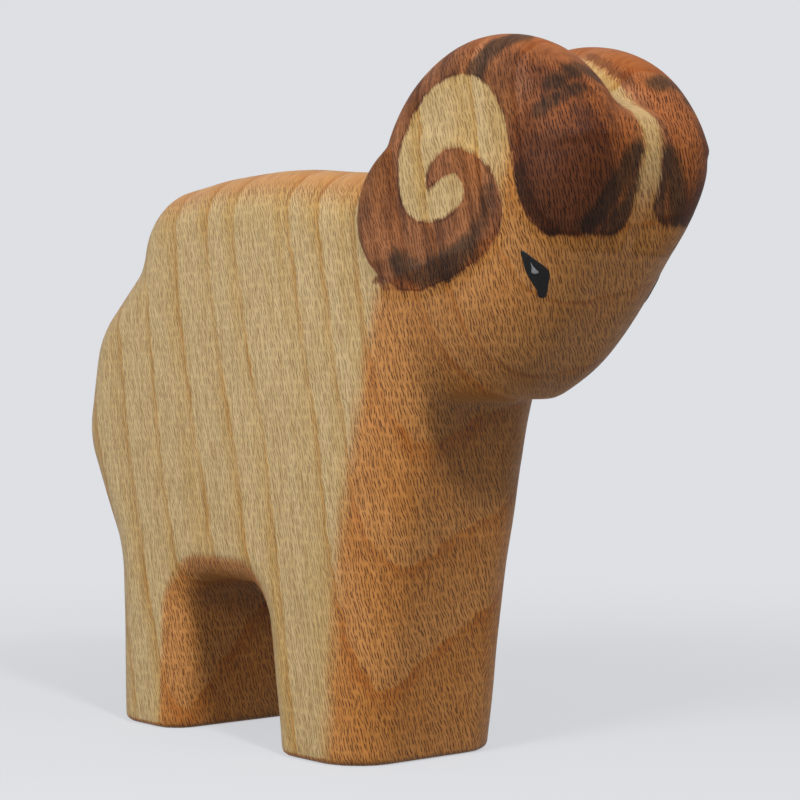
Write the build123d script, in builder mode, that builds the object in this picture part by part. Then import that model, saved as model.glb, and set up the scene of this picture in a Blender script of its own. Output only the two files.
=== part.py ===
"""Carved wooden ram, sawn from one board of maple, with stained horns and painted eyes.

Millimetres. X runs forward, Y to the animal's left, Z up from the floor.
While it is built, X is measured from the toe of the front leg; the finished
figure is then moved so that the origin lies at the bottom centre of its box.
"""

import os
from math import cos, degrees, radians, sin

from build123d import *

# Thickness of the board, worn thinner towards the feet and the back
board_thickness = 30.0
foot_thickness = 30.0
flank_thickness = 29.6
flank_height = 44.0
shoulder_thickness = 27.2

# Legs and the arch between them, at the floor
front_leg_length = 19.0
arch_span = 25.5
hind_leg_length = 18.5
arch_height = 24.0
arch_corner = 6.5
arch_front_lean = 3.6
arch_hind_lean = 1.2

# Corners of the trunk's side outline, each with its rounding
chest_reach = 3.5
chest_height = 24.0
chest_bend = 80.0
throat_reach = 9.0
throat_height = 48.0
throat_bend = 40.0
nape_reach = 22.5
nape_height = 80.4
nape_bend = 9.0
back_reach = 28.0
back_height = 86.5
back_bend = 120.0
croup_reach = 5.6
croup_height = 83.8
croup_bend = 11.0
notch_reach = 4.1
notch_height = 73.6
notch_bend = 3.0
rump_reach = 8.2
rump_height = 63.5
haunch_reach = 11.8
haunch_height = 45.0
rump_bend = 14.0
hock_reach = 0.7
hock_height = 26.0
hock_bend = 14.0

# Rounding of the sawn edges
trunk_round = 8.0
arch_round = 5.0
sole_round = 1.0

# Horns: two lobes rolled over the head, with a valley between them, ending in a curl on each side
roll_reach = 22.7
roll_height = 78.4
roll_radius = 20.9
roll_round = 6.8
valley_depth = 3.2
roll_relief = 0.3
roll_start = 16.0
roll_arc = 164.0
curl_reach = 15.2
curl_height = 76.6
curl_length = 29.4
curl_width = 22.0
curl_round = 1.6

# Face, as level cross-sections from the chin up into the valley: each has its height, its front
# and back ends, its widths in front and where it roots in the neck, and the rounding in front
chin_height = 51.4
chin_reach = 21.8
chin_back = 3.0
chin_width = 12.5
chin_root = 14.5
chin_corner = 4.8
muzzle_height = 55.8
muzzle_reach = 27.1
muzzle_back = 1.0
muzzle_width = 19.6
muzzle_root = 24.8
muzzle_corner = 7.4
jowl_height = 60.0
jowl_reach = 30.6
jowl_back = 0.0
jowl_width = 24.8
jowl_root = 28.0
jowl_corner = 9.2
cheek_height = 64.5
cheek_reach = 34.0
cheek_back = 0.0
cheek_width = 27.4
cheek_root = 28.8
cheek_corner = 10.2
temple_height = 70.0
temple_reach = 37.7
temple_back = 5.0
temple_width = 28.6
temple_root = 28.8
temple_corner = 10.0
brow_height = 83.8
brow_reach = 42.6
brow_back = 8.0
brow_width = 29.0
brow_root = 29.4
brow_corner = 7.2
forehead_height = 88.6
forehead_reach = 39.4
forehead_back = 10.0
forehead_width = 24.0
forehead_root = 24.0
forehead_corner = 8.0
crown_height = 92.0
crown_reach = 34.0
crown_back = 12.0
crown_width = 17.0
crown_root = 17.0
crown_corner = 6.0
root_corner = 3.0
chin_round = 2.4

# Coats: how deep each soaks in, and the bare strip left along the valley
coat_depth = 0.4
shading_depth = 0.2
valley_strip = 2.4
shading_width = 3.0
toe_shading_reach = 38.6
toe_shading_height = 73.0
toe_shading_length = 9.0
toe_shading_width = 5.0

# Eyes: a leaf on the turn between cheek and face, with a small glint in it
eye_reach = 33.0
eye_side = 11.5
eye_height = 67.3
eye_turn = 40.0
eye_length = 5.6
eye_width = 3.2
glint_length = 1.3
glint_width = 1.0

half_board = board_thickness / 2
arch_front = -front_leg_length
arch_back = arch_front - arch_span
heel = arch_back - hind_leg_length


def beside_legs(edge):
    """Tell whether an edge runs along one side of the board, above the soles."""
    middle = edge.center()
    return abs(middle.Y) > foot_thickness / 4 and middle.Z > sole_round


def round_the_arch(edge):
    """Tell whether an edge along one side of the board borders the arch."""
    middle = edge.center()
    return arch_back < middle.X < arch_front and middle.Z < arch_height + sole_round


with BuildPart() as trunk:
    with BuildSketch(Plane.XZ.offset(-half_board)):
        with BuildLine():
            FilletPolyline(
                (0, 0),
                (chest_reach, chest_height),
                (throat_reach, throat_height),
                (nape_reach, nape_height),
                (-back_reach, back_height),
                (heel + croup_reach, croup_height),
                (heel + notch_reach, notch_height),
                (heel - rump_reach, rump_height),
                (heel - haunch_reach, haunch_height),
                (heel - hock_reach, hock_height),
                (heel, 0),
                radius=[
                    chest_bend, throat_bend, nape_bend, back_bend, croup_bend,
                    notch_bend, rump_bend, rump_bend, hock_bend,
                ],
            )
            Line((heel, 0), (arch_back, 0))
            FilletPolyline(
                (arch_back, 0),
                (arch_back + arch_hind_lean, arch_height),
                (arch_front - arch_front_lean, arch_height),
                (arch_front, 0),
                radius=arch_corner,
            )
            Line((arch_front, 0), (0, 0))
        make_face()
    extrude(amount=board_thickness)
    with BuildSketch(Plane.YZ.offset(2 * heel)):
        with BuildLine():
            left_side = ThreePointArc(
                (foot_thickness / 2, -sole_round),
                (flank_thickness / 2, flank_height),
                (shoulder_thickness / 2, back_height),
            )
            right_side = ThreePointArc(
                (-foot_thickness / 2, -sole_round),
                (-flank_thickness / 2, flank_height),
                (-shoulder_thickness / 2, back_height),
            )
            Line(left_side @ 0, right_side @ 0)
            Line(left_side @ 1, right_side @ 1)
        make_face()
    extrude(amount=-4 * heel, mode=Mode.INTERSECT)
    outer_rims = trunk.edges().filter_by(lambda edge: beside_legs(edge) and not round_the_arch(edge))
    fillet(outer_rims, trunk_round)
    arch_rims = trunk.edges().filter_by(lambda edge: beside_legs(edge) and round_the_arch(edge))
    fillet(arch_rims, arch_round)
    fillet(trunk.edges().group_by(Axis.Z)[0], sole_round)


def head_shape(inset):
    """The head, or the wood left under a coat that has soaked in by inset."""
    half = half_board - inset
    roll_half = half - roll_relief
    radius = roll_radius - inset
    rounding = roll_round - inset
    crest = roll_half - rounding
    end_gap = degrees(inset / radius)
    roll_plane = Plane((roll_reach, 0, roll_height)).rotated((0, -roll_start - end_gap, 0))
    sections = [
        (chin_height + inset, chin_reach, chin_back, chin_width, chin_root, chin_corner),
        (muzzle_height, muzzle_reach, muzzle_back, muzzle_width, muzzle_root, muzzle_corner),
        (jowl_height, jowl_reach, jowl_back, jowl_width, jowl_root, jowl_corner),
        (cheek_height, cheek_reach, cheek_back, cheek_width, cheek_root, cheek_corner),
        (temple_height, temple_reach, temple_back, temple_width, temple_root, temple_corner),
        (brow_height, brow_reach, brow_back, brow_width, brow_root, brow_corner),
        (forehead_height, forehead_reach, forehead_back, forehead_width, forehead_root, forehead_corner),
        (crown_height, crown_reach, crown_back, crown_width, crown_root, crown_corner),
    ]
    with BuildPart() as roll:
        with BuildSketch(roll_plane):
            with BuildLine():
                Line((0, -roll_half), (radius - rounding, -roll_half))
                RadiusArc((radius - rounding, -roll_half), (radius, -crest), -rounding)
                Spline(
                    (radius, -crest),
                    (radius - valley_depth, 0),
                    (radius, crest),
                    tangents=((0, 1), (0, 1)),
                )
                RadiusArc((radius, crest), (radius - rounding, roll_half), -rounding)
                Line((radius - rounding, roll_half), (0, roll_half))
                Line((0, roll_half), (0, -roll_half))
            make_face()
        revolve(axis=Axis((roll_reach, 0, roll_height), (0, -1, 0)), revolution_arc=roll_arc - 2 * end_gap)
    with BuildPart() as curl:
        with BuildSketch(Plane.XZ.offset(-half)):
            with Locations((curl_reach, curl_height)):
                Ellipse(curl_length / 2 - inset, curl_width / 2 - inset)
        extrude(amount=2 * half)
        fillet(curl.edges().filter_by(GeomType.ELLIPSE), curl_round)
    with BuildPart() as face:
        for height, reach, back, width, root, corner in sections:
            front_half = width / 2 - inset
            root_half = root / 2 - inset
            with BuildSketch(Plane.XY.offset(height)):
                with BuildLine():
                    FilletPolyline(
                        (back + inset, -root_half),
                        (reach - inset, -front_half),
                        (reach - inset, front_half),
                        (back + inset, root_half),
                        radius=[root_corner - inset, corner - inset, corner - inset, root_corner - inset],
                        close=True,
                    )
                make_face()
        loft()
        fillet(face.edges().group_by(Axis.Z)[0], chin_round)
    with BuildPart() as head:
        add(roll.part)
        add(curl.part)
        add(face.part)
    return head.part


whole_head = head_shape(0)
coated_core = head_shape(coat_depth)
shaded_core = head_shape(shading_depth)

with BuildSketch(Plane.XZ.offset(valley_strip / 2)) as horn_outline:
    with BuildLine():
        inner_edge = Spline(
            (47.0, 74.0),
            (40.0, 71.5),
            (36.5, 71.4),
            (34.3, 74.6),
            (33.0, 79.0),
            (31.0, 86.0),
            (27.6, 91.5),
            (22.1, 93.3),
            (16.5, 92.1),
            (12.2, 88.0),
            (10.5, 81.4),
            (12.0, 76.8),
            (16.3, 74.9),
            (20.6, 75.6),
            (23.3, 78.4),
            (21.6, 80.4),
            (18.1, 79.6),
            (16.2, 78.8),
        )
        outer_edge = Spline(
            inner_edge @ 1,
            (16.1, 80.9),
            (19.1, 84.0),
            (24.5, 83.4),
            (29.5, 79.4),
            (30.7, 74.6),
            (26.1, 69.5),
            (19.4, 66.8),
            (13.7, 65.8),
            (8.0, 65.9),
            (2.0, 69.0),
            (-2.0, 76.0),
        )
        Polyline(outer_edge @ 1, (-2.0, 105.0), (50.0, 105.0), inner_edge @ 0)
    make_face()

with BuildSketch(Plane.XZ.offset(valley_strip / 2)) as shading_outline:
    with Locations((curl_reach, curl_height)):
        Ellipse(curl_length / 2 + shading_width, curl_width / 2 + shading_width)
    with Locations((curl_reach + shading_width / 2, curl_height + shading_width)):
        Ellipse(curl_length / 2, curl_width / 2, mode=Mode.SUBTRACT)
    with Locations((curl_reach, curl_height + curl_width / 2)):
        Rectangle(2 * curl_length, curl_width + shading_width, mode=Mode.SUBTRACT)
    with Locations((toe_shading_reach, toe_shading_height)):
        Ellipse(toe_shading_length / 2, toe_shading_width / 2)
    add(horn_outline.sketch, mode=Mode.INTERSECT)

with BuildPart() as right_horn_shading:
    extrude(shading_outline.sketch, amount=board_thickness)
    add(whole_head, mode=Mode.INTERSECT)
    add(shaded_core, mode=Mode.SUBTRACT)
    add(trunk.part, mode=Mode.SUBTRACT)

with BuildPart() as right_horn_stain:
    extrude(horn_outline.sketch, amount=board_thickness)
    add(whole_head, mode=Mode.INTERSECT)
    add(coated_core, mode=Mode.SUBTRACT)
    add(trunk.part, mode=Mode.SUBTRACT)
    add(right_horn_shading.part, mode=Mode.SUBTRACT)

forward = (cos(radians(eye_turn)), sin(radians(eye_turn)), 0)
outward = (sin(radians(eye_turn)), -cos(radians(eye_turn)), 0)
eye_plane = Plane((eye_reach, -eye_side, eye_height), x_dir=forward, z_dir=outward)
with BuildSketch(eye_plane) as glint_outline:
    Triangle(a=glint_width, b=glint_length, C=90, align=(Align.CENTER, Align.MIN))
with BuildSketch(eye_plane) as eye_outline:
    with BuildLine():
        tip = (-eye_width / 2, eye_length / 2)
        foot = (eye_width / 4, -eye_length / 2)
        Spline(tip, (eye_width / 8, eye_length / 3), (eye_width / 2, 0), foot)
        Spline(foot, (-eye_width / 4, -eye_length / 12), tip)
    make_face()

with BuildPart() as right_eye_glint:
    extrude(glint_outline.sketch, amount=eye_length, both=True)
    add(whole_head, mode=Mode.INTERSECT)
    add(coated_core, mode=Mode.SUBTRACT)
with BuildPart() as right_eye:
    extrude(eye_outline.sketch, amount=eye_length, both=True)
    add(whole_head, mode=Mode.INTERSECT)
    add(coated_core, mode=Mode.SUBTRACT)
    add(right_eye_glint.part, mode=Mode.SUBTRACT)

with BuildPart() as figure:
    add(trunk.part)
    add(whole_head)

coats = {
    "horn_stain": right_horn_stain.part,
    "horn_shading": right_horn_shading.part,
    "eye": right_eye.part,
    "eye_glint": right_eye_glint.part,
}
pieces = {}
for name, right_coat in coats.items():
    pieces["right_" + name] = right_coat
    pieces["left_" + name] = mirror(right_coat, about=Plane.XZ)

with BuildPart() as carved_body:
    add(figure.part)
    for coat in pieces.values():
        add(coat, mode=Mode.SUBTRACT)
pieces["carved_body"] = carved_body.part

os.makedirs("parts", exist_ok=True)
to_origin = Location((-figure.part.bounding_box().center().X, 0, 0))
for name, piece in pieces.items():
    placed = piece.moved(to_origin)
    placed.label = name
    export_step(placed, f"parts/{name}.step")
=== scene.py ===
"""A ram carved from one maple board, with stained horns and painted eyes, on a pale floor."""

import math

import bmesh
import bpy
import numpy as np
from bpy.props import FloatProperty, FloatVectorProperty, IntProperty, PointerProperty
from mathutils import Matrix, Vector, noise
from mathutils.bvhtree import BVHTree


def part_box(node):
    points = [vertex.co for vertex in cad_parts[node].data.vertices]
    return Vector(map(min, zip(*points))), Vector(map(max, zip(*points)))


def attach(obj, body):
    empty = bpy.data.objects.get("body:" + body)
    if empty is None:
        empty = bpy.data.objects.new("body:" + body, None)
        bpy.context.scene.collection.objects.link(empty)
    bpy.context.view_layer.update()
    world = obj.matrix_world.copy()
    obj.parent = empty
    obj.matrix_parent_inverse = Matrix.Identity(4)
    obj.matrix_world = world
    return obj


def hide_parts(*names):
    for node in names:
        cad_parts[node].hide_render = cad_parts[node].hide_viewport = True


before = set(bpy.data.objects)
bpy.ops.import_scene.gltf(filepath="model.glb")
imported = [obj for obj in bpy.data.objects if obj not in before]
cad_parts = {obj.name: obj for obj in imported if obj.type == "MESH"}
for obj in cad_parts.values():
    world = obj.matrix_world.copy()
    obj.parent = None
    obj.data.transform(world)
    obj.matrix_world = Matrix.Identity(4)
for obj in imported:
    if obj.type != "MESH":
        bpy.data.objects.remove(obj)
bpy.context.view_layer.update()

bl_info = {
    "name": "Carved Ram",
    "version": (1, 0, 0),
    "blender": (4, 5, 0),
    "location": "3D View > Sidebar > Ram",
    "description": "Sands, stains and paints a ram carved from one maple board",
    "category": "Object",
}

MM = 0.001
SIDES = {"right": -1, "left": 1}

# Sanding: each round shrinks the surface a little and swells it back, and the hollow of the neck gets more.
SHRINK = 0.5
SWELL = -0.52
NECK_HOLLOW = np.array([29.0, 13.0, 57.0]) * MM
NECK_REACH = 12 * MM
NECK_FADE = 1.3
WAVES_PER_METRE = 110
SOLE_EDGE = 2 * MM

# The line on each side ahead of which the wood is tinted deeper as painted shade, in mm: it leans and bows
# forward with height above its foot, and steps forward behind the curl.
SHOULDER_FOOT = 23.0
SHOULDER_PLACE = 11.4
SHOULDER_LEAN = 0.13
SHOULDER_BOW = 0.0018
BEHIND_CURL = 21.0

# Tints that multiply the wood's colour.
BRIGHT_FIBRE = (1.16, 1.17, 1.22, 1.0)
DARK_FIBRE = (0.84, 0.78, 0.68, 1.0)
BETWEEN_DASHES = (1.16, 1.17, 1.2, 1.0)
# Lightens the stain where the painted shade tint lies under it.
STAIN_OVER_PAINTED_SHADE = (1.08, 1.45, 1.9, 1.0)
STAIN_RIM = (0.45, 0.42, 0.45, 1.0)

# Where the stain ends on the head, in mm: the bare strip along the valley and the horns' front ends.
STRIP_HALF_WIDTH = 1.6
VALLEY_HALF_WIDTH = 4
VALLEY_FOOT = 76
FRONT_END_TOP = 80
FRONT_END_BACK = 50
FRONT_END_FOOT = {"right": 71.6, "left": 73.6}
FRONT_END_INNER = 5.2
FRONT_END_ROUND = 3.6

# Reach of the search about the horns, and the height over the skin from which the stain's edge is measured.
HORN_REACH = 4 * MM
EDGE_PROBE = 0.45 * MM
HIDDEN_SEAM = 0.4

# Brush strokes of the darker coat on the right horn: points in mm, half width, softness and strength.
# The left horn has the same ones mirrored.
BRUSH_STROKES = {
    "over_the_crown": ([(44.3, -9.8, 97.8), (42.6, -12.2, 96.3), (40.7, -14, 93.8)], 1.0, 2.0, 0.9),
    "upper_slant": ([(52.7, -12.2, 90.6), (53.2, -7.9, 93.2), (53.8, -5.5, 92.6)], 0.6, 1.8, 0.85),
    "lower_slant": ([(52.1, -14, 87.4), (53.6, -12.6, 88.5), (54.8, -10, 90)], 0.5, 1.5, 0.8),
    "back_of_base": ([(49.3, -14.5, 80.1), (50.6, -13.8, 76.4), (52.1, -11.3, 72.8)], 0.2, 2.6, 0.6),
    "toe": ([(58, -3.1, 82.4), (57.6, -4.6, 80.1), (57, -6, 77.5), (54.6, -7.8, 73.6)], 0.6, 2.0, 1.0),
    "toe_end": ([(57.5, -1.6, 79.1), (56.6, -2.1, 76), (54.8, -4.2, 72.8)], 1.0, 2.4, 0.75),
    "under_the_curl": ([(25.7, -14.6, 69.8), (30.6, -14.6, 67.8), (36, -14.6, 69), (39.7, -14.6, 71)],
                       0.6, 2.8, 0.95),
    "side_of_curl": ([(39.7, -14.6, 71), (43.4, -14.6, 75.4), (43.6, -14.6, 78)], 0.3, 2.2, 0.7),
    "back_of_curl": ([(18.1, -14, 76), (20, -14.4, 80.5), (23.1, -14.6, 88)], 0.3, 2.4, 0.5),
}

# The right eye's leaf and its glint, a painted highlight, in the eye's own plane: forward and up, in mm.
EYE_LEAF = [(-1.6, 2.9), (0.05, 1.8), (1.75, 0.35), (1.6, -1.3), (1.15, -2.8), (0.3, -2.85), (0.05, -1.9),
            (-0.95, -0.2), (-1.45, 1.5)]
GLINT = [(-0.45, 1.45), (-0.2, 1.0), (0.2, 0.55), (0.5, 0.2), (0.05, 0.02), (-0.4, 0.2), (-0.35, 0.8)]

# A drop of paint: its rings out from the middle, how flat its dome is, and how far it is let into the wood.
DROP_RINGS = (0.3, 0.55, 0.75, 0.9, 1.0)
DOME_FLATNESS = 5
PAINT_FOOT = 0.02 * MM
PAINT_ROOT = 0.25 * MM
EYE_PROBE = 20 * MM


class WoodSettings(bpy.types.PropertyGroup):
    """Sanding of the carved body and the look of its maple."""

    pitch: FloatProperty(
        name="Surface pitch", description="Spacing of the sanded surface's points",
        default=0.62 * MM, unit="LENGTH")
    sanding: IntProperty(
        name="Sanding rounds", description="How often the carved surface is rubbed down", default=4)
    blending: IntProperty(
        name="Neck rounds", description="Extra rubbing where the cheek runs into the neck", default=70)
    unevenness: FloatProperty(
        name="Unevenness", description="Height of the soft waves that hand carving leaves",
        default=0.12 * MM, unit="LENGTH")
    ring_spacing: FloatProperty(
        name="Ring spacing", description="Growth ring spacing in mm", default=8.6)
    ring_lean: FloatProperty(
        name="Ring lean", description="Forward lean of the rings per mm of height", default=0.225)
    pith: FloatVectorProperty(
        name="Pith", description="Where the tree's heart stood beside the board, in mm",
        size=2, default=(-150.0, 36.0))
    early_wood: FloatVectorProperty(
        name="Early wood", description="Pale wood that begins each ring",
        subtype="COLOR", default=(0.48, 0.35, 0.175))
    golden_wood: FloatVectorProperty(
        name="Golden wood", description="Warmer wood towards the end of each ring",
        subtype="COLOR", default=(0.44, 0.28, 0.098))
    late_tint: FloatVectorProperty(
        name="Ring line", description="Tint of the thin line that ends each ring",
        subtype="COLOR", default=(0.82, 0.66, 0.46))
    # Painted shade: this tint darkens and reddens the faces turned to the front, down or up, and the wood
    # ahead of the shoulder; the flat sides keep the paler tone as painted sheen.
    painted_shade_tint: FloatVectorProperty(
        name="Oil tint", description="Deepening where the cut fibres drink more oil",
        subtype="COLOR", default=(0.83, 0.51, 0.29))
    dash_gap: FloatProperty(
        name="Dash gap", description="Spacing of the dark flecks across the grain, in mm", default=0.42)
    dash_step: FloatProperty(
        name="Dash step", description="Spacing of the dark flecks along the grain, in mm", default=1.2)
    dash_tint: FloatVectorProperty(
        name="Dashes", description="Tint of the short dark flecks along the grain",
        subtype="COLOR", default=(0.2, 0.14, 0.12))
    gloss: FloatProperty(
        name="Gloss", description="Strength of the oiled wood's sheen", default=0.3)


class StainSettings(bpy.types.PropertyGroup):
    """The two coats of brown stain on the horns."""

    lift: FloatProperty(
        name="Lift", description="Height of the stained skin over the bare wood",
        default=0.02 * MM, unit="LENGTH")
    depth: FloatProperty(
        name="Depth", description="How deep the stain soaks in", default=0.3 * MM, unit="LENGTH")
    margin: FloatProperty(
        name="Margin", description="Bare wood kept round the stain in its skin, in mm", default=1.8)
    thin_tint: FloatVectorProperty(
        name="Thin stain", description="Tint where the brush was nearly dry",
        subtype="COLOR", default=(0.63, 0.35, 0.29))
    full_tint: FloatVectorProperty(
        name="Full stain", description="Tint where the stain is thick",
        subtype="COLOR", default=(0.2, 0.105, 0.11))
    dark_tint: FloatVectorProperty(
        name="Dark coat", description="Tint of the second coat over the first",
        subtype="COLOR", default=(0.29, 0.37, 0.48))
    gloss: FloatProperty(
        name="Gloss", description="Strength of the stained wood's sheen", default=0.15)


class EyeSettings(bpy.types.PropertyGroup):
    """The painted eyes."""

    centre: FloatVectorProperty(
        name="Centre", description="Middle of the right eye", size=3, unit="LENGTH",
        default=(48.62 * MM, -11.5 * MM, 67.3 * MM))
    turn: FloatProperty(
        name="Turn", description="How far the eye looks forward from the side",
        unit="ROTATION", default=math.radians(40))
    set_back: FloatProperty(
        name="Set back", description="How much further back the left eye is painted",
        default=2.0 * MM, unit="LENGTH")
    thickness: FloatProperty(
        name="Thickness", description="Height of the paint in the middle of the eye",
        default=0.12 * MM, unit="LENGTH")
    black: FloatVectorProperty(
        name="Eye paint", description="Black of the eye",
        subtype="COLOR", default=(0.006, 0.0055, 0.0055))
    # Painted highlight: the grey of the glint drop that stands for a reflection on the eye.
    grey: FloatVectorProperty(
        name="Glint paint", description="Grey touch in the eye",
        subtype="COLOR", default=(0.19, 0.2, 0.215))


class StageSettings(bpy.types.PropertyGroup):
    """Floor, light and camera."""

    backdrop: FloatVectorProperty(
        name="Backdrop", description="Colour of the floor and the background",
        subtype="COLOR", default=(0.73, 0.745, 0.775))
    bounce: FloatVectorProperty(
        name="Bounce", description="Colour that the floor throws back on the ram",
        subtype="COLOR", default=(0.22, 0.22, 0.22))
    key_power: FloatProperty(
        name="Key light", description="Power of the wide lamp at the ram's right",
        default=2.6, unit="POWER")
    key_size: FloatProperty(
        name="Key size", description="Width of the lamp at the ram's right", default=0.25, unit="LENGTH")
    key_side: FloatVectorProperty(
        name="Key side", description="Way from the ram to the lamp at its right",
        subtype="DIRECTION", default=(0.18, -0.88, 0.45))
    front_power: FloatProperty(
        name="Front light", description="Power of the small lamp before the ram", default=2.0, unit="POWER")
    front_size: FloatProperty(
        name="Front size", description="Width of the lamp before the ram", default=0.08, unit="LENGTH")
    front_side: FloatVectorProperty(
        name="Front side", description="Way from the ram to the lamp before it",
        subtype="DIRECTION", default=(0.764, -0.23, 0.65))
    lamp_distance: FloatProperty(
        name="Lamp distance", description="How far the lamps stand from the ram",
        default=0.62, unit="LENGTH")
    fill: FloatProperty(
        name="Fill", description="Strength of the light from all around", default=0.34)
    eye_point: FloatVectorProperty(
        name="Camera", description="Where the camera stands", size=3, unit="LENGTH",
        default=(0.23344, -0.1889, 0.0513))
    looking: FloatVectorProperty(
        name="Looking", description="Which way the camera looks",
        subtype="DIRECTION", default=(-0.766, 0.643, 0.0))
    lens: FloatProperty(
        name="Lens", description="Focal length on a 36 mm sensor, in mm", default=90.86)


class Wiring:
    """Adds nodes to one tree. A value may be a plain number or colour, or another node's output."""

    def __init__(self, tree):
        self.tree = tree

    def feed(self, socket, value):
        if isinstance(value, bpy.types.NodeSocket):
            self.tree.links.new(value, socket)
        elif value is not None:
            socket.default_value = value

    def node(self, kind, *values, **settings):
        made = self.tree.nodes.new(kind)
        for key, value in settings.items():
            setattr(made, key, value)
        for socket, value in zip(made.inputs, values):
            self.feed(socket, value)
        return made

    def calc(self, operation, *values):
        return self.node("ShaderNodeMath", *values, operation=operation).outputs[0]

    def times(self, first, second):
        return self.calc("MULTIPLY", first, second)

    def scaled(self, value, factor, start):
        """The value times the factor, added to the start."""
        return self.calc("MULTIPLY_ADD", value, factor, start)

    def largest(self, first, *others):
        for other in others:
            first = self.calc("MAXIMUM", first, other)
        return first

    def ease(self, value, low, high):
        return self.node("ShaderNodeMapRange", value, low, high, 0.0, 1.0,
                         interpolation_type="SMOOTHSTEP").outputs[0]

    def mix(self, share, first, second, blend="MIX"):
        made = self.tree.nodes.new("ShaderNodeMix")
        made.data_type = "RGBA"
        made.blend_type = blend
        self.feed(made.inputs[0], share)
        self.feed(made.inputs[6], first)
        self.feed(made.inputs[7], second)
        return made.outputs[2]

    def tint(self, share, colour, by):
        return self.mix(share, colour, by, "MULTIPLY")

    def cloud(self, vector, scale, detail=2.0, roughness=0.5):
        made = self.tree.nodes.new("ShaderNodeTexNoise")
        self.feed(made.inputs["Vector"], vector)
        made.inputs["Scale"].default_value = scale
        made.inputs["Detail"].default_value = detail
        made.inputs["Roughness"].default_value = roughness
        return made.outputs[0]

    def point(self, *values):
        return self.node("ShaderNodeCombineXYZ", *values).outputs[0]

    def parts(self, vector):
        return self.node("ShaderNodeSeparateXYZ", vector).outputs

    def attribute(self, name):
        return self.node("ShaderNodeAttribute", attribute_name=name).outputs["Fac"]

    def bump(self, height, strength, distance):
        made = self.tree.nodes.new("ShaderNodeBump")
        made.inputs["Strength"].default_value = strength
        made.inputs["Distance"].default_value = distance
        self.feed(made.inputs["Height"], height)
        return made.outputs[0]


def rgba(colour):
    return (*colour, 1.0)


def facing_shade_mask(wiring, x, y, z, normal_x, normal_z):
    """How much painted shade the wood gets: most on faces turned to the front or down and ahead of the
    shoulder, much on faces turned up, little by the valley; the flat sides get none and keep a pale tone as
    painted sheen.
    """
    # Painted shade by facing: most on faces turned to the front or down, much on faces turned up.
    turned = wiring.largest(normal_x, wiring.times(normal_x, -0.35), wiring.times(normal_z, -1.0))
    faces_in_shade = wiring.ease(turned, 0.12, 0.42)
    upwards = wiring.times(wiring.ease(normal_z, 0.2, 0.85), 0.8)

    # Painted shade also ahead of the shoulder line, which wavers a little.
    height = wiring.calc("SUBTRACT", z, SHOULDER_FOOT)
    bowed = wiring.times(wiring.times(height, height), SHOULDER_BOW)
    shoulder = wiring.calc("ADD", wiring.scaled(height, SHOULDER_LEAN, SHOULDER_PLACE), bowed)
    behind_curl = wiring.times(wiring.ease(z, 66.0, 73.0), BEHIND_CURL)
    ahead = wiring.calc("SUBTRACT", x, wiring.calc("ADD", shoulder, behind_curl))
    wavy = wiring.cloud(wiring.point(x, y, wiring.times(z, 0.3)), 0.5, 2.0)
    front_zone = wiring.ease(wiring.scaled(wavy, 2.4, ahead), -0.6, 3.8)

    # The painted shade is held back near the valley between the horns.
    beside_valley = wiring.ease(wiring.calc("ABSOLUTE", y), 1.0, 4.0)
    below_valley = wiring.ease(z, 82.0, 74.0)
    behind_head = wiring.ease(x, 24.0, 16.0)
    open_wood = wiring.scaled(wiring.largest(beside_valley, below_valley, behind_head), 0.88, 0.12)
    return wiring.times(wiring.largest(faces_in_shade, front_zone, upwards), open_wood)


def ring_phase(wiring, wood, x, y, z, ripple, place):
    """How far each place lies through its growth ring, from 0 to 1."""
    pith_x, pith_y = wood.pith
    across = wiring.calc("POWER", wiring.calc("SUBTRACT", x, pith_x), 2.0)
    beside = wiring.calc("POWER", wiring.calc("SUBTRACT", y, pith_y), 2.0)
    radius = wiring.calc("SQRT", wiring.calc("ADD", across, beside))
    leaning = wiring.scaled(z, wood.ring_lean, radius)
    wavering = wiring.scaled(wiring.cloud(place, 0.03, 1.0), 5.0, leaning)
    turn = wiring.calc("DIVIDE", wiring.scaled(ripple, 1.2, wavering), wood.ring_spacing)
    year = wiring.node("ShaderNodeTexNoise", noise_dimensions="1D")
    wiring.feed(year.inputs["W"], turn)
    year.inputs["Scale"].default_value = 0.7
    return wiring.calc("FRACT", wiring.scaled(year.outputs[0], 0.9, turn))


def dashes(wiring, wood, across, z):
    """Short thin flecks in uneven rows."""
    cell = wiring.point(wiring.times(across, 1 / wood.dash_gap), wiring.times(z, 1 / wood.dash_step))
    spots = wiring.node("ShaderNodeTexVoronoi", cell, voronoi_dimensions="2D")
    spots.inputs["Scale"].default_value = 1.0
    spots.inputs["Randomness"].default_value = 0.62
    offset = wiring.node("ShaderNodeVectorMath", cell, spots.outputs["Position"], operation="SUBTRACT")
    aside, along, _ = wiring.parts(offset.outputs[0])
    off_line = wiring.times(wiring.calc("ABSOLUTE", aside), 1 / 0.22)
    off_end = wiring.times(wiring.calc("ABSOLUTE", along), 1 / 0.44)
    return wiring.ease(wiring.largest(off_line, off_end), 1.4, 0.5)


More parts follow.
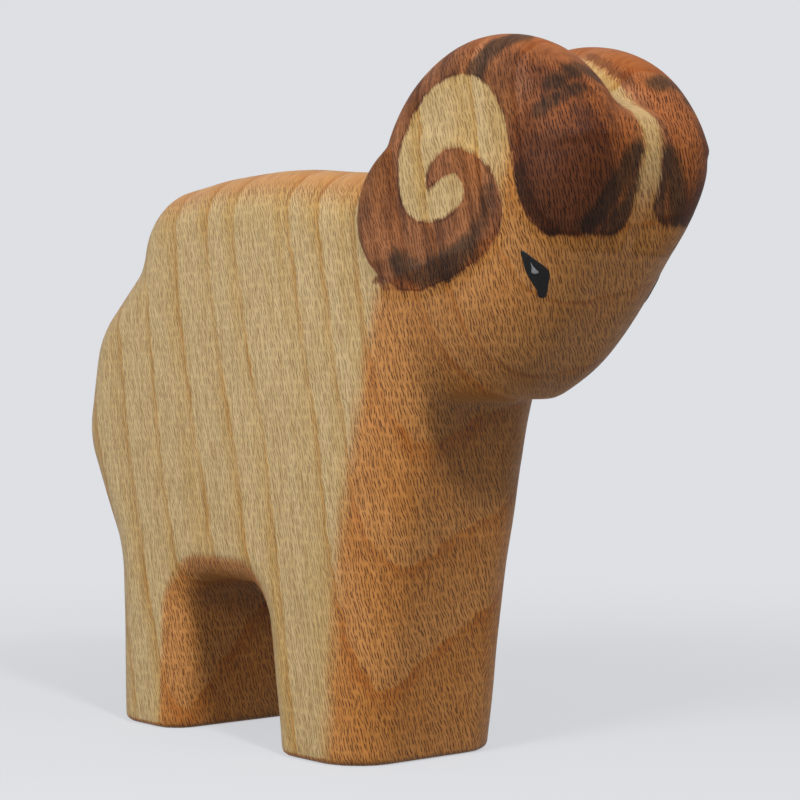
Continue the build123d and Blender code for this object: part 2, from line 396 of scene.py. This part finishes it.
def maple_grain(wiring, wood):
    """Rings, fibres and dashes of the maple, which run up the board on its sides, front and back."""
    metres = wiring.node("ShaderNodeTexCoord").outputs["Object"]
    to_mm = (1000.0, 1000.0, 1000.0)
    place = wiring.node("ShaderNodeVectorMath", metres, to_mm, operation="MULTIPLY").outputs[0]
    x, y, z = wiring.parts(place)
    normal_x, normal_y, normal_z = wiring.parts(wiring.node("ShaderNodeNewGeometry").outputs["Normal"])
    # Share of painted shade at each point, from its facing and its place.
    painted_shade_share = facing_shade_mask(wiring, x, y, z, normal_x, normal_z)
    front = wiring.ease(wiring.calc("ABSOLUTE", normal_x), 0.35, 0.8)
    ripple = wiring.cloud(place, 0.35, 1.0)

    side_x = wiring.scaled(z, 0.22, x)
    front_y = wiring.scaled(z, 0.42, y)
    flat_x = wiring.times(x, 0.18)
    flat_y = wiring.times(y, 0.18)

    def grain_cloud(scale, stretch, detail):
        up = wiring.times(z, stretch)
        on_side = wiring.cloud(wiring.point(side_x, flat_y, up), scale, detail, 0.6)
        on_front = wiring.cloud(wiring.point(flat_x, front_y, up), scale, detail, 0.6)
        return wiring.mix(front, on_side, on_front)

    fibre = grain_cloud(2.0, 0.12, 2.0)
    speckle = grain_cloud(4.4, 0.2, 1.0)
    streaks = grain_cloud(0.5, 0.1, 3.0)

    phase = ring_phase(wiring, wood, x, y, z, ripple, place)
    broken = wiring.scaled(wiring.ease(speckle, 0.3, 0.6), 0.6, 0.4)
    patchy = wiring.scaled(wiring.ease(streaks, 0.35, 0.65), 0.5, 0.5)
    line = wiring.times(wiring.ease(phase, 0.84, 0.95), wiring.ease(phase, 1.0, 0.97))
    ring_share = wiring.times(line, wiring.times(broken, patchy))

    late = wiring.ease(phase, 0.2, 0.95)
    lower = wiring.times(wiring.ease(z, 60.0, 10.0), wiring.ease(x, -45.0, -25.0))
    head = wiring.ease(z, 72.0, 80.0)
    yellowed = wiring.times(wiring.largest(lower, head), 0.5)
    warm = wiring.calc("ADD", yellowed, wiring.scaled(wiring.ease(streaks, 0.3, 0.7), 0.5, 0.3))
    golden = wiring.times(wiring.scaled(late, 0.75, 0.25), warm)
    tone = wiring.mix(golden, rgba(wood.early_wood), rgba(wood.golden_wood))
    ringed = wiring.tint(ring_share, tone, rgba(wood.late_tint))
    # Painted shade: the tint deepens the wood where the painted shade share lies.
    shade_tinted = wiring.tint(painted_shade_share, ringed, rgba(wood.painted_shade_tint))
    combed = wiring.tint(wiring.ease(fibre, 0.45, 0.72), shade_tinted, BRIGHT_FIBRE)
    brushed = wiring.tint(wiring.ease(fibre, 0.52, 0.28), combed, DARK_FIBRE)

    slant = wiring.times(z, 0.24)
    rows = wiring.scaled(wiring.calc("ADD", x, y), 0.8, slant)
    cross_rows = wiring.scaled(wiring.calc("SUBTRACT", x, y), 0.8, slant)
    first, second = (dashes(wiring, wood, wiring.calc("ADD", row, ripple), z) for row in (rows, cross_rows))
    crossed = wiring.ease(wiring.times(normal_x, normal_y), 0.04, 0.2)
    tilt = wiring.largest(normal_z, wiring.times(normal_z, -0.8))
    fleck = wiring.times(wiring.mix(crossed, first, second), wiring.ease(tilt, 0.85, 0.55))
    uneven_fleck = wiring.times(fleck, wiring.ease(speckle, 0.85, 0.35))
    dash_tint = wiring.mix(uneven_fleck, BETWEEN_DASHES, rgba(wood.dash_tint))
    # The dashes are drawn stronger where the painted shade lies.
    colour = wiring.tint(wiring.scaled(painted_shade_share, 0.45, 0.55), brushed, dash_tint)

    relief = wiring.calc("SUBTRACT", wiring.times(fibre, 0.5), fleck)
    # The painted shade share goes out with the grain, for the stain to use.
    return {"colour": colour, "relief": relief, "dash_tint": dash_tint, "speckle": speckle,
            "streaks": streaks, "place": place, "painted_shade_share": painted_shade_share}


def new_material(name):
    material = bpy.data.materials.new(name)
    material.use_nodes = True
    return material, Wiring(material.node_tree)


def wood_shader(wiring, colour, relief, roughness, gloss):
    shader = wiring.tree.nodes["Principled BSDF"]
    wiring.feed(shader.inputs["Normal"], wiring.bump(relief, 0.35, 0.05 * MM))
    wiring.feed(shader.inputs["Base Color"], colour)
    wiring.feed(shader.inputs["Roughness"], roughness)
    shader.inputs["Specular IOR Level"].default_value = gloss


def bare_maple(wood):
    """Sanded maple with an oil finish, and painted shade on its turned faces."""
    material, wiring = new_material("oiled_maple_with_painted_shade")
    grain = maple_grain(wiring, wood)
    sheen_patches = wiring.cloud(grain["place"], 0.2, 2.0)
    roughness = wiring.scaled(sheen_patches, 0.16, 0.46)
    wood_shader(wiring, grain["colour"], grain["relief"], roughness, wood.gloss)
    return material


def stained_maple(name, wood, stain):
    """The same maple under brown stain, which ends in a frayed edge where its attribute falls below zero."""
    material, wiring = new_material(name)
    grain = maple_grain(wiring, wood)
    bare, speckle, streaks, place = (grain[key] for key in ("colour", "speckle", "streaks", "place"))
    fray = wiring.calc("ADD", wiring.times(speckle, 0.4), wiring.scaled(streaks, 0.5, -0.45))
    frayed_edge = wiring.scaled(fray, 0.8, wiring.attribute("stain_edge"))
    covered = wiring.ease(frayed_edge, -0.08, 0.1)

    pool = wiring.cloud(place, 0.16, 2.0)
    load = wiring.scaled(pool, 0.7, wiring.times(streaks, 0.9))
    # The thickness takes in painted light: thinner stain where the horns' slopes are to look brightly lit.
    thickness = wiring.ease(wiring.calc("ADD", load, wiring.attribute("stain_and_light_load")), 0.55, 1.1)
    first_coat = wiring.mix(thickness, rgba(stain.thin_tint), rgba(stain.full_tint))
    # The stain is lightened where the painted shade share lies under it.
    stain_over_shade = wiring.tint(grain["painted_shade_share"], first_coat, STAIN_OVER_PAINTED_SHADE)

    bristles = wiring.calc("ADD", wiring.times(streaks, 0.9), wiring.scaled(speckle, 0.5, -0.7))
    dark_share = wiring.ease(wiring.calc("ADD", bristles, wiring.attribute("dark_coat")), 0.1, 0.95)
    both_coats = wiring.tint(dark_share, stain_over_shade, rgba(stain.dark_tint))

    rim_band = wiring.times(wiring.ease(frayed_edge, 0.0, 0.08), wiring.ease(frayed_edge, 0.34, 0.2))
    rim_here = wiring.ease(wiring.cloud(place, 0.22, 1.0), 0.42, 0.6)
    rim = wiring.times(rim_band, wiring.times(rim_here, 0.75))
    rimmed = wiring.tint(rim, both_coats, STAIN_RIM)
    stained = wiring.tint(0.35, wiring.tint(1.0, bare, rimmed), grain["dash_tint"])
    colour = wiring.mix(covered, bare, stained)

    roughness = wiring.scaled(covered, 0.12, 0.52)
    wood_shader(wiring, colour, grain["relief"], roughness, stain.gloss)
    return material


def paint(name, colour, roughness, lighter):
    """Brushed paint: faint streaks of a lighter tone."""
    material, wiring = new_material(name)
    place = wiring.node("ShaderNodeTexCoord").outputs["Object"]
    streaks = wiring.cloud(place, 2600.0, 3.0)
    bright = rgba([lighter * channel for channel in colour])
    shader = wiring.tree.nodes["Principled BSDF"]
    streaked = wiring.mix(wiring.ease(streaks, 0.35, 0.75), rgba(colour), bright)
    wiring.feed(shader.inputs["Base Color"], streaked)
    wiring.feed(shader.inputs["Normal"], wiring.bump(streaks, 0.3, 0.03 * MM))
    shader.inputs["Roughness"].default_value = roughness
    shader.inputs["Specular IOR Level"].default_value = 0.2
    return material


def link(name, mesh):
    piece = bpy.data.objects.new(name, mesh)
    bpy.context.scene.collection.objects.link(piece)
    return piece


def finish_piece(piece, replaced, material):
    piece.data.materials.clear()
    piece.data.materials.append(material)
    piece.data.shade_smooth()
    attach(piece, "root")
    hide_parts(*replaced)


def merged_nodes(names):
    """A bmesh of copies of the CAD nodes, with their loose triangles joined up."""
    joined = bmesh.new()
    for name in names:
        joined.from_mesh(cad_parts[name].data)
    bmesh.ops.remove_doubles(joined, verts=joined.verts, dist=1e-7)
    return joined


def node_tree_of(names):
    """A search tree over the surfaces of the CAD nodes."""
    joined = merged_nodes(names)
    found = BVHTree.FromBMesh(joined)
    joined.free()
    return found


def distances(tree, points):
    return np.array([tree.find_nearest(point)[3] for point in points]) / MM


def points_of(mesh):
    flat = np.empty(len(mesh.vertices) * 3)
    mesh.vertices.foreach_get("co", flat)
    return flat.reshape(-1, 3)


def normals_of(mesh):
    flat = np.empty(len(mesh.vertices) * 3)
    mesh.vertices.foreach_get("normal", flat)
    return flat.reshape(-1, 3)


def place_points(mesh, points):
    mesh.vertices.foreach_set("co", points.ravel())
    mesh.update()


def rubbed(points, edges, share):
    """Moves each point part of the way to the middle of its neighbours."""
    first, second = edges.T
    count = np.bincount(edges.ravel(), minlength=len(points))
    middle = np.empty_like(points)
    for axis in range(3):
        total = np.bincount(first, points[second, axis], len(points))
        total += np.bincount(second, points[first, axis], len(points))
        middle[:, axis] = total / np.maximum(count, 1)
    return points + share[:, None] * (middle - points)


def sand(mesh, wood):
    """Rubs the carved surface down, most of all where cheek, neck and chest run into each other."""
    flat_edges = np.empty(len(mesh.edges) * 2, dtype=int)
    mesh.edges.foreach_get("vertices", flat_edges)
    edges = flat_edges.reshape(-1, 2)
    points = points_of(mesh)
    everywhere = np.ones(len(points))
    for _ in range(wood.sanding):
        points = rubbed(points, edges, SHRINK * everywhere)
        points = rubbed(points, edges, SWELL * everywhere)

    folded = points.copy()
    folded[:, 1] = np.abs(points[:, 1])
    from_neck = np.linalg.norm(folded - NECK_HOLLOW, axis=1) / NECK_REACH
    hollow = SHRINK * np.clip(NECK_FADE - from_neck, 0, 1)
    for _ in range(wood.blending):
        points = rubbed(points, edges, hollow)
    place_points(mesh, points)

    waves = np.array([noise.noise(Vector(point) * WAVES_PER_METRE) for point in points])
    above_sole = np.clip(points[:, 2] / SOLE_EDGE, 0, 1)
    points += normals_of(mesh) * (waves * above_sole * wood.unevenness)[:, None]
    points[:, 2] = np.maximum(points[:, 2], 0.0)
    place_points(mesh, points)


class RAM_OT_carve_body(bpy.types.Operator):
    """Make the sanded maple body over the carved solid"""

    bl_idname = "ram.carve_body"
    bl_label = "Carve Body"

    def execute(self, context):
        wood = context.scene.ram_wood
        joined = merged_nodes(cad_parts)
        rough_mesh = bpy.data.meshes.new("rough_ram")
        joined.to_mesh(rough_mesh)
        joined.free()
        rough = link("rough_ram", rough_mesh)
        remesh = rough.modifiers.new("even_surface", "REMESH")
        remesh.mode = "VOXEL"
        remesh.voxel_size = wood.pitch
        evaluated = rough.evaluated_get(context.evaluated_depsgraph_get())
        mesh = bpy.data.meshes.new_from_object(evaluated)
        mesh.name = "maple_ram"
        bpy.data.objects.remove(rough)
        sand(mesh, wood)
        finish_piece(link("maple_ram", mesh), ["carved_body"], bare_maple(wood))
        return {"FINISHED"}


def coat_tree():
    """Geometry nodes that lift a patch of the body's surface and give it the depth of a coat."""
    tree = bpy.data.node_groups.new("coat_of_stain", "GeometryNodeTree")
    inputs = {"Geometry": "Geometry", "Lift": "Float", "Depth": "Float", "Material": "Material"}
    for name, kind in inputs.items():
        tree.interface.new_socket(name, in_out="INPUT", socket_type=f"NodeSocket{kind}")
    tree.interface.new_socket("Geometry", in_out="OUTPUT", socket_type="NodeSocketGeometry")
    wiring = Wiring(tree)
    patch, lift, depth, material, _ = wiring.node("NodeGroupInput").outputs
    normal = wiring.node("GeometryNodeInputNormal").outputs[0]
    rise = wiring.node("GeometryNodeInputNamedAttribute", "rise", data_type="FLOAT").outputs[0]
    rim_sunk = wiring.scaled(rise, 2.0, -1.0)
    below = wiring.calc("SUBTRACT", wiring.times(lift, rim_sunk), depth)
    sunk = wiring.node("ShaderNodeVectorMath", normal, operation="SCALE")
    wiring.feed(sunk.inputs["Scale"], below)
    underside = wiring.node("GeometryNodeSetPosition", patch)
    wiring.feed(underside.inputs["Offset"], sunk.outputs[0])
    raised = wiring.node("GeometryNodeExtrudeMesh", underside.outputs[0])
    wiring.feed(raised.inputs["Offset Scale"], depth)
    raised.inputs["Individual"].default_value = False
    turned = wiring.node("GeometryNodeFlipFaces", underside.outputs[0])
    both = wiring.node("GeometryNodeJoinGeometry")
    wiring.feed(both.inputs[0], raised.outputs[0])
    wiring.feed(both.inputs[0], turned.outputs[0])
    closed = wiring.node("GeometryNodeMergeByDistance", both.outputs[0])
    closed.inputs["Distance"].default_value = 1e-8
    whole = wiring.node("GeometryNodeRealizeInstances", closed.outputs[0])
    finished = wiring.node("GeometryNodeSetMaterial", whole.outputs[0])
    wiring.feed(finished.inputs["Material"], material)
    wiring.node("NodeGroupOutput", finished.outputs[0])
    return tree


def stroke_strength(points):
    """Share of the dark coat at each point, from the brush strokes of both horns."""
    mirrored = points / MM
    mirrored[:, 1] = -np.abs(mirrored[:, 1])
    strength = np.zeros(len(points))
    for path, half_width, softness, load in BRUSH_STROKES.values():
        nearest = np.full(len(points), np.inf)
        for start, end in zip(path, path[1:]):
            run = np.subtract(end, start)
            from_start = mirrored - np.array(start)
            along = np.clip(from_start @ run / (run @ run), 0, 1)
            nearest = np.minimum(nearest, np.linalg.norm(from_start - along[:, None] * run, axis=1))
        fade = np.clip((half_width + softness - nearest) / softness, 0, 1)
        strength = np.maximum(strength, load * fade * fade * (3 - 2 * fade))
    return strength


def stain_edge(points, wood_tree, stain_tree):
    """How far inside the stain each point lies, in mm: soft along the valley, rounded at the front ends."""
    edge = distances(wood_tree, points) - distances(stain_tree, points)
    along, beside, up = (points / MM).T
    from_middle = np.abs(beside)
    in_valley = (from_middle < VALLEY_HALF_WIDTH) & (up > VALLEY_FOOT)
    edge = np.where(in_valley, 0.15 * (from_middle - STRIP_HALF_WIDTH), edge)
    foot = np.where(beside > 0, FRONT_END_FOOT["left"], FRONT_END_FOOT["right"])
    inwards = np.minimum(from_middle - FRONT_END_INNER, 0)
    downwards = np.minimum(up - foot - FRONT_END_ROUND, 0)
    corner = FRONT_END_ROUND - np.hypot(inwards, downwards)
    at_front_end = (up < FRONT_END_TOP) & (along > FRONT_END_BACK)
    return np.where(at_front_end, np.minimum(edge, 0.28 * corner), edge)


def stain_and_light_load(points):
    """Extra stain on the lower front of each horn; the thinner stain towards the valley and on the whole left
    horn is painted light that brightens those slopes.
    """
    along, beside, up = (points / MM).T
    to_front = np.clip((along - 44) / 8, 0, 1)
    to_valley = np.clip((10 - np.abs(beside)) / 6, 0, 1)
    to_foot = np.clip((88 - up) / 12, 0, 1)
    front_load = to_front * (0.12 + 0.46 * to_foot) * (1 - 0.8 * to_valley)
    # Painted light: thinner stain towards the valley and on the left horn makes those slopes look lit.
    return front_load - 0.5 * to_valley * (1 - 0.5 * to_foot) - 0.3 * (beside > 0)


class RAM_OT_stain_horns(bpy.types.Operator):
    """Lay the brown stain and the darker coat over the horns"""

    bl_idname = "ram.stain_horns"
    bl_label = "Stain Horns"

    def face_gaps(self, body, coat):
        """How far each face of the body lies from a coat, in mm, measured about the horns only."""
        points = points_of(body.data)
        low = np.array(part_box("right_horn_stain")[0]) - HORN_REACH
        near = (points[:, 0] > low[0]) & (points[:, 2] > low[2])
        gap = np.full(len(points), np.inf)
        gap[near] = distances(coat, points[near])
        return np.array([gap[list(face.vertices)].min() for face in body.data.polygons])

    def patch(self, body, keep):
        """A finer copy of the body's faces for which keep holds."""
        piece = bmesh.new()
        piece.from_mesh(body.data)
        piece.faces.ensure_lookup_table()
        bmesh.ops.delete(piece, geom=[face for face in piece.faces if not keep[face.index]], context="FACES")
        bmesh.ops.subdivide_edges(piece, edges=piece.edges, cuts=1, use_grid_fill=True)
        mesh = bpy.data.meshes.new("stained_skin")
        piece.to_mesh(mesh)
        piece.free()
        return mesh

    def mark(self, mesh, coat, wood, all_stain, margin):
        """Writes where the stain ends, how thick it is, where it is darker and how high the skin stands."""
        points = points_of(mesh)
        over_skin = points + EDGE_PROBE * normals_of(mesh)
        rise = np.clip(1.4 - 1.4 * distances(coat, points) / margin, 0, 1)
        rise *= np.clip(np.abs(points[:, 1]) / MM - HIDDEN_SEAM, 0, 1)
        fields = {
            "stain_edge": stain_edge(over_skin, wood, all_stain),
            "stain_and_light_load": stain_and_light_load(points),
            "dark_coat": stroke_strength(points),
            "rise": rise,
        }
        for name, values in fields.items():
            mesh.attributes.new(name, "FLOAT", "POINT").data.foreach_set("value", values)

    def thickened(self, context, mesh, tree, layer, material):
        """The marked patch as a closed coat, made by the geometry nodes."""
        stain = context.scene.ram_stain
        sockets = {item.name: item.identifier for item in tree.interface.items_tree if item.in_out == "INPUT"}
        skin = link("patch", mesh)
        modifier = skin.modifiers.new("coat", "NODES")
        modifier.node_group = tree
        modifier[sockets["Lift"]] = layer * stain.lift
        modifier[sockets["Depth"]] = stain.depth
        modifier[sockets["Material"]] = material
        evaluated = skin.evaluated_get(context.evaluated_depsgraph_get())
        closed = bpy.data.meshes.new_from_object(evaluated)
        bpy.data.objects.remove(skin)
        return closed

    def execute(self, context):
        scene = context.scene
        stain = scene.ram_stain
        body = bpy.data.objects["maple_ram"]
        side_of = np.array([face.center.y for face in body.data.polygons])
        wood = node_tree_of(["carved_body"])
        shading = node_tree_of([f"{side}_horn_shading" for side in SIDES])
        all_stain = node_tree_of([f"{side}_horn_{coat}" for side in SIDES for coat in ("stain", "shading")])
        tree = coat_tree()
        coats = {
            "horn_stain": (all_stain, stained_maple("brown_stain", scene.ram_wood, stain)),
            "horn_shading": (shading, stained_maple("dark_stain", scene.ram_wood, stain)),
        }
        for layer, (coat_name, (coat, material)) in enumerate(coats.items(), 1):
            covered = self.face_gaps(body, coat) < stain.margin
            for side, sign in SIDES.items():
                mesh = self.patch(body, covered & (side_of * sign > 0))
                self.mark(mesh, coat, wood, all_stain, stain.margin)
                closed = self.thickened(context, mesh, tree, layer, material)
                skin = link(f"{side}_{coat_name}_skin", closed)
                finish_piece(skin, [f"{side}_{coat_name}"], material)
        return {"FINISHED"}


def rounded_loop(corners, steps):
    """A closed smooth curve through the corners."""
    count = len(corners)
    loop = []
    for index in range(count):
        a, b, c, d = (np.array(corners[(index + k) % count]) for k in (-1, 0, 1, 2))
        for t in np.arange(steps) / steps:
            loop.append(0.5 * (2 * b + (c - a) * t + (2 * a - 5 * b + 4 * c - d) * t ** 2
                               + (3 * b - a - 3 * c + d) * t ** 3))
    return np.array(loop)


class RAM_OT_paint_eyes(bpy.types.Operator):
    """Paint the eyes, and in each a grey glint as a painted highlight"""

    bl_idname = "ram.paint_eyes"
    bl_label = "Paint Eyes"

    def drop(self, name, corners, sign, wood, eyes, height, foot):
        """A thin drop of paint on the wood: domed, with its rim and underside let into the surface."""
        centre = Vector(eyes.centre)
        centre.x -= eyes.set_back if sign > 0 else 0.0
        out = Vector((math.sin(eyes.turn), -math.cos(eyes.turn), 0))
        forward = Vector((math.cos(eyes.turn), math.sin(eyes.turn), 0))
        mirror = Vector((1, -sign, 1))
        loop = rounded_loop(corners, 8)
        middle = loop.mean(axis=0)

        def on_wood(flat, lift):
            start = centre + forward * (flat[0] * MM) + Vector((0, 0, flat[1] * MM)) + out * EYE_PROBE
            hit, normal, _, _ = wood.ray_cast(start * mirror, -out * mirror)
            return hit + normal * lift

        shape = bmesh.new()
        top = shape.verts.new(on_wood(middle, foot + height))
        bottom = shape.verts.new(on_wood(middle, -PAINT_ROOT))
        rings = []
        for share in DROP_RINGS:
            lift = foot + height * (1 - share ** DOME_FLATNESS)
            rings.append([shape.verts.new(on_wood(middle + share * (p - middle), lift)) for p in loop])
        rings.append([shape.verts.new(on_wood(p, -PAINT_ROOT)) for p in loop])
        count = len(loop)
        for index in range(count):
            after = (index + 1) % count
            shape.faces.new((top, rings[0][index], rings[0][after]))
            for inner, outer in zip(rings, rings[1:]):
                shape.faces.new((inner[index], outer[index], outer[after], inner[after]))
            shape.faces.new((bottom, rings[-1][after], rings[-1][index]))
        bmesh.ops.recalc_face_normals(shape, faces=shape.faces)
        mesh = bpy.data.meshes.new(name)
        shape.to_mesh(mesh)
        shape.free()
        return link(name, mesh)

    def execute(self, context):
        eyes = context.scene.ram_eyes
        body = bmesh.new()
        body.from_mesh(bpy.data.objects["maple_ram"].data)
        wood = BVHTree.FromBMesh(body)
        body.free()
        black = paint("black_eye_paint", eyes.black, roughness=0.5, lighter=1.8)
        grey = paint("grey_glint_paint", eyes.grey, roughness=0.45, lighter=1.3)
        for side, sign in SIDES.items():
            eye = self.drop(f"{side}_eye_paint", EYE_LEAF, sign, wood, eyes,
                            height=eyes.thickness, foot=PAINT_FOOT)
            finish_piece(eye, [f"{side}_eye"], black)
            # Painted highlight: a grey glint drop on each eye.
            glint = self.drop(f"{side}_glint_paint", GLINT, sign, wood, eyes,
                              height=0.3 * eyes.thickness, foot=1.2 * eyes.thickness)
            finish_piece(glint, [f"{side}_eye_glint"], grey)
        return {"FINISHED"}


class RAM_OT_set_stage(bpy.types.Operator):
    """Lay the floor and set the light and the camera"""

    bl_idname = "ram.set_stage"
    bl_label = "Set Stage"

    def seen_directly(self, wiring):
        path = wiring.node("ShaderNodeLightPath").outputs
        return wiring.largest(path["Is Camera Ray"], path["Is Glossy Ray"], path["Is Transmission Ray"])

    def lay_floor(self, stage):
        """A pale floor that keeps the shadow near the ram and runs into the background further off."""
        backdrop = rgba(stage.backdrop)
        bed = bmesh.new()
        bmesh.ops.create_grid(bed, x_segments=1, y_segments=1, size=6.0)
        floor_mesh = bpy.data.meshes.new("pale_floor")
        bed.to_mesh(floor_mesh)
        bed.free()
        material, wiring = new_material("pale_floor")
        shader = wiring.tree.nodes["Principled BSDF"]
        place = wiring.node("ShaderNodeTexCoord").outputs["Object"]
        seen = self.seen_directly(wiring)
        specks = wiring.times(wiring.cloud(place, 30.0, 2.0), 0.04)
        pale = wiring.mix(specks, backdrop, (0.7, 0.71, 0.74, 1.0))
        wiring.feed(shader.inputs["Base Color"], wiring.mix(seen, rgba(stage.bounce), pale))
        shader.inputs["Roughness"].default_value = 0.9
        shader.inputs["Specular IOR Level"].default_value = 0.0
        glow = wiring.node("ShaderNodeEmission", backdrop, 1.0)
        away = wiring.node("ShaderNodeVectorMath", place, operation="LENGTH").outputs["Value"]
        share = wiring.times(seen, wiring.scaled(wiring.ease(away, 0.05, 0.3), 0.32, 0.68))
        both = wiring.node("ShaderNodeMixShader", share, shader.outputs[0], glow.outputs[0])
        wiring.feed(wiring.tree.nodes["Material Output"].inputs["Surface"], both.outputs[0])
        floor = link("pale_floor", floor_mesh)
        floor.data.materials.append(material)

    def fill_room(self, scene, stage):
        """Even light from all around, and a background in the floor's colour."""
        world = bpy.data.worlds.new("pale_room")
        world.use_nodes = True
        scene.world = world
        air = Wiring(world.node_tree)
        ambient = air.node("ShaderNodeBackground", (1.0, 0.985, 0.965, 1.0), stage.fill)
        wall = air.node("ShaderNodeBackground", rgba(stage.backdrop), 1.0)
        room = air.node("ShaderNodeMixShader", self.seen_directly(air), ambient.outputs[0], wall.outputs[0])
        air.feed(world.node_tree.nodes["World Output"].inputs["Surface"], room.outputs[0])

    def hang_lamp(self, scene, name, power, size, side, distance):
        """A round lamp that shines on the middle of the ram from the given side."""
        lamp = bpy.data.lights.new(name, "AREA")
        lamp.shape = "DISK"
        lamp.size = size
        lamp.energy = power
        towards = Vector(side)
        holder = bpy.data.objects.new(name, lamp)
        holder.location = Vector((0, 0, 0.05)) + distance * towards.normalized()
        holder.rotation_euler = towards.to_track_quat("Z", "Y").to_euler()
        scene.collection.objects.link(holder)

    def stand_camera(self, scene, stage):
        lens = bpy.data.cameras.new("camera")
        lens.lens = stage.lens
        lens.sensor_width = 36.0
        lens.clip_start = 0.01
        camera = bpy.data.objects.new("camera", lens)
        camera.location = stage.eye_point
        camera.rotation_euler = Vector(stage.looking).to_track_quat("-Z", "Y").to_euler()
        scene.collection.objects.link(camera)
        scene.camera = camera

    def execute(self, context):
        scene = context.scene
        stage = scene.ram_stage
        self.lay_floor(stage)
        self.fill_room(scene, stage)
        self.hang_lamp(scene, "soft_key", stage.key_power, stage.key_size, stage.key_side,
                       stage.lamp_distance)
        self.hang_lamp(scene, "front_fill", stage.front_power, stage.front_size, stage.front_side,
                       stage.lamp_distance)
        self.stand_camera(scene, stage)
        scene.view_settings.view_transform = "Standard"
        return {"FINISHED"}


class RAM_PT_sidebar(bpy.types.Panel):
    """Lists the ram's settings and the steps that make it"""

    bl_label = "Carved Ram"
    bl_idname = "RAM_PT_sidebar"
    bl_space_type = "VIEW_3D"
    bl_region_type = "UI"
    bl_category = "Ram"

    def draw(self, context):
        for group, operator in STEPS:
            box = self.layout.box()
            settings = getattr(context.scene, group)
            for name in settings.__annotations__:
                box.prop(settings, name)
            box.operator(operator.bl_idname)


SETTINGS = {
    "ram_wood": WoodSettings,
    "ram_stain": StainSettings,
    "ram_eyes": EyeSettings,
    "ram_stage": StageSettings,
}
STEPS = [
    ("ram_wood", RAM_OT_carve_body),
    ("ram_stain", RAM_OT_stain_horns),
    ("ram_eyes", RAM_OT_paint_eyes),
    ("ram_stage", RAM_OT_set_stage),
]


def register():
    for name, group in SETTINGS.items():
        bpy.utils.register_class(group)
        setattr(bpy.types.Scene, name, PointerProperty(type=group))
    for _, operator in STEPS:
        bpy.utils.register_class(operator)
    bpy.utils.register_class(RAM_PT_sidebar)


def unregister():
    bpy.utils.unregister_class(RAM_PT_sidebar)
    for _, operator in reversed(STEPS):
        bpy.utils.unregister_class(operator)
    for name, group in reversed(SETTINGS.items()):
        delattr(bpy.types.Scene, name)
        bpy.utils.unregister_class(group)


def main():
    register()
    bpy.ops.ram.carve_body()
    bpy.ops.ram.stain_horns()
    bpy.ops.ram.paint_eyes()
    bpy.ops.ram.set_stage()


if __name__ == "__main__":
    main()
